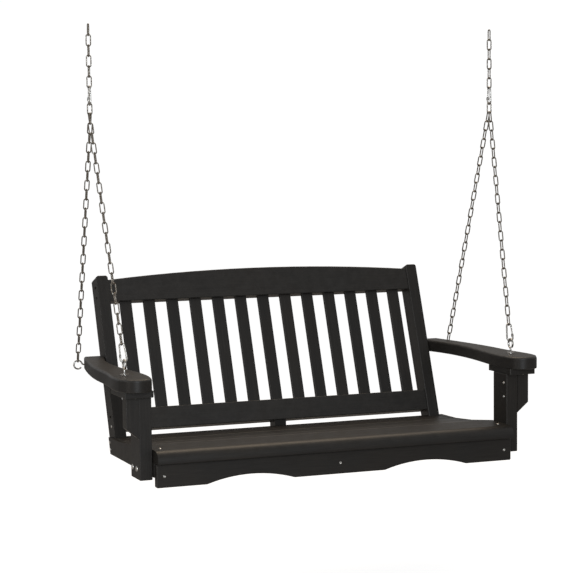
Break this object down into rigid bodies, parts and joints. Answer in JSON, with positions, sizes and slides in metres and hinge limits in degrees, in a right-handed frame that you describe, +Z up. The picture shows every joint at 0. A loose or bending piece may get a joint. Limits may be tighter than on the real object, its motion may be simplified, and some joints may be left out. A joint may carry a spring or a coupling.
{
  "type": "porch swing",
  "caption": "Slatted porch swing in near-black recycled-plastic lumber: contoured seat, raked slatted back with an arched top rail, broad arms, hung on chains with snap links.",
  "frame": {"origin": "midway between the two points where the top chain links rest on the ceiling hooks", "axes": "+X to the right across the bench as seen from in front, +Y from the front edge of the seat towards the back, +Z up"},
  "size_m": [1.347, 0.7392, 1.3336],
  "materials": {
    "lumber": "satin",
    "chain": "satin",
    "fittings": "satin",
    "screws": "satin"
  },
  "bodies": {
    "ceiling_links": {"top_link_right": "chain", "top_link_left": "chain"},
    "upper_chains": {"upper_chain_right": "chain", "top_snap_right": "fittings", "upper_chain_left": "chain", "top_snap_left": "fittings"},
    "bench": {"front_post_right": "lumber", "front_post_left": "lumber", "corbel_right": "lumber", "corbel_left": "lumber", "arm_plate_right": "lumber", "arm_plate_left": "lumber", "arm_right": "lumber", "arm_left": "lumber", "back_post_right": "lumber", "back_post_left": "lumber", "side_rail_right": "lumber", "side_rail_left": "lumber", "seat_cleat_right": "lumber", "seat_cleat_left": "lumber", "centre_support": "lumber", "top_rail": "lumber", "bottom_rail": "lumber", "apron": "lumber", "seat_board_front": "lumber", "seat_board_mid_front": "lumber", "seat_board_mid_rear": "lumber", "seat_board_rear": "lumber", "back_slat_01": "lumber", "back_slat_02": "lumber", "back_slat_03": "lumber", "back_slat_04": "lumber", "back_slat_05": "lumber", "back_slat_06": "lumber", "back_slat_07": "lumber", "back_slat_08": "lumber", "back_slat_09": "lumber", "back_slat_10": "lumber", "back_slat_11": "lumber", "back_slat_12": "lumber", "back_slat_13": "lumber", "eye_bolts": "fittings", "eye_bolt_washers": "fittings", "eye_bolt_nuts": "fittings", "screw_eyes": "fittings", "post_bolts": "screws", "post_nuts": "screws", "apron_screws": "screws", "seat_screws": "screws", "frame_screws": "screws", "arm_snap_right": "fittings", "front_chain_right": "chain", "rear_chain_right": "chain", "arm_snap_left": "fittings", "front_chain_left": "chain", "rear_chain_left": "chain"},
    "arm_gate_right": {"arm_snap_gate_right": "fittings"},
    "arm_gate_left": {"arm_snap_gate_left": "fittings"},
    "top_gate_right": {"top_snap_gate_right": "fittings"},
    "top_gate_left": {"top_snap_gate_left": "fittings"}
  },
  "joints": [
    {"name": "swing", "type": "hinge", "parent": "ceiling_links", "child": "upper_chains", "pos_m": [0, 0, -0.02844], "axis": [1, 0, 0], "range_deg": [-25, 25]},
    {"name": "seat_pitch", "type": "hinge", "parent": "upper_chains", "child": "bench", "pos_m": [0, 0, -0.26328], "axis": [1, 0, 0], "range_deg": [-12, 12]},
    {"name": "arm_gate_right", "type": "hinge", "parent": "bench", "child": "arm_gate_right", "pos_m": [0.6371, -0.19929, -0.96073], "axis": [0, -0.9617, 0.2741], "range_deg": [0, 20], "stiffness_Nm_per_rad": 0.02, "springref_deg": -28.65},
    {"name": "arm_gate_left", "type": "hinge", "parent": "bench", "child": "arm_gate_left", "pos_m": [-0.6371, -0.19929, -0.96073], "axis": [0, 0.9617, -0.2741], "range_deg": [0, 20], "stiffness_Nm_per_rad": 0.02, "springref_deg": -28.65},
    {"name": "top_gate_right", "type": "hinge", "parent": "upper_chains", "child": "top_gate_right", "pos_m": [0.658, 0.00971, -0.21912], "axis": [1, 0, 0], "range_deg": [0, 20], "stiffness_Nm_per_rad": 0.02, "springref_deg": -28.65},
    {"name": "top_gate_left", "type": "hinge", "parent": "upper_chains", "child": "top_gate_left", "pos_m": [-0.658, 0.00971, -0.21912], "axis": [1, 0, 0], "range_deg": [0, 20], "stiffness_Nm_per_rad": 0.02, "springref_deg": -28.65}
  ]
}
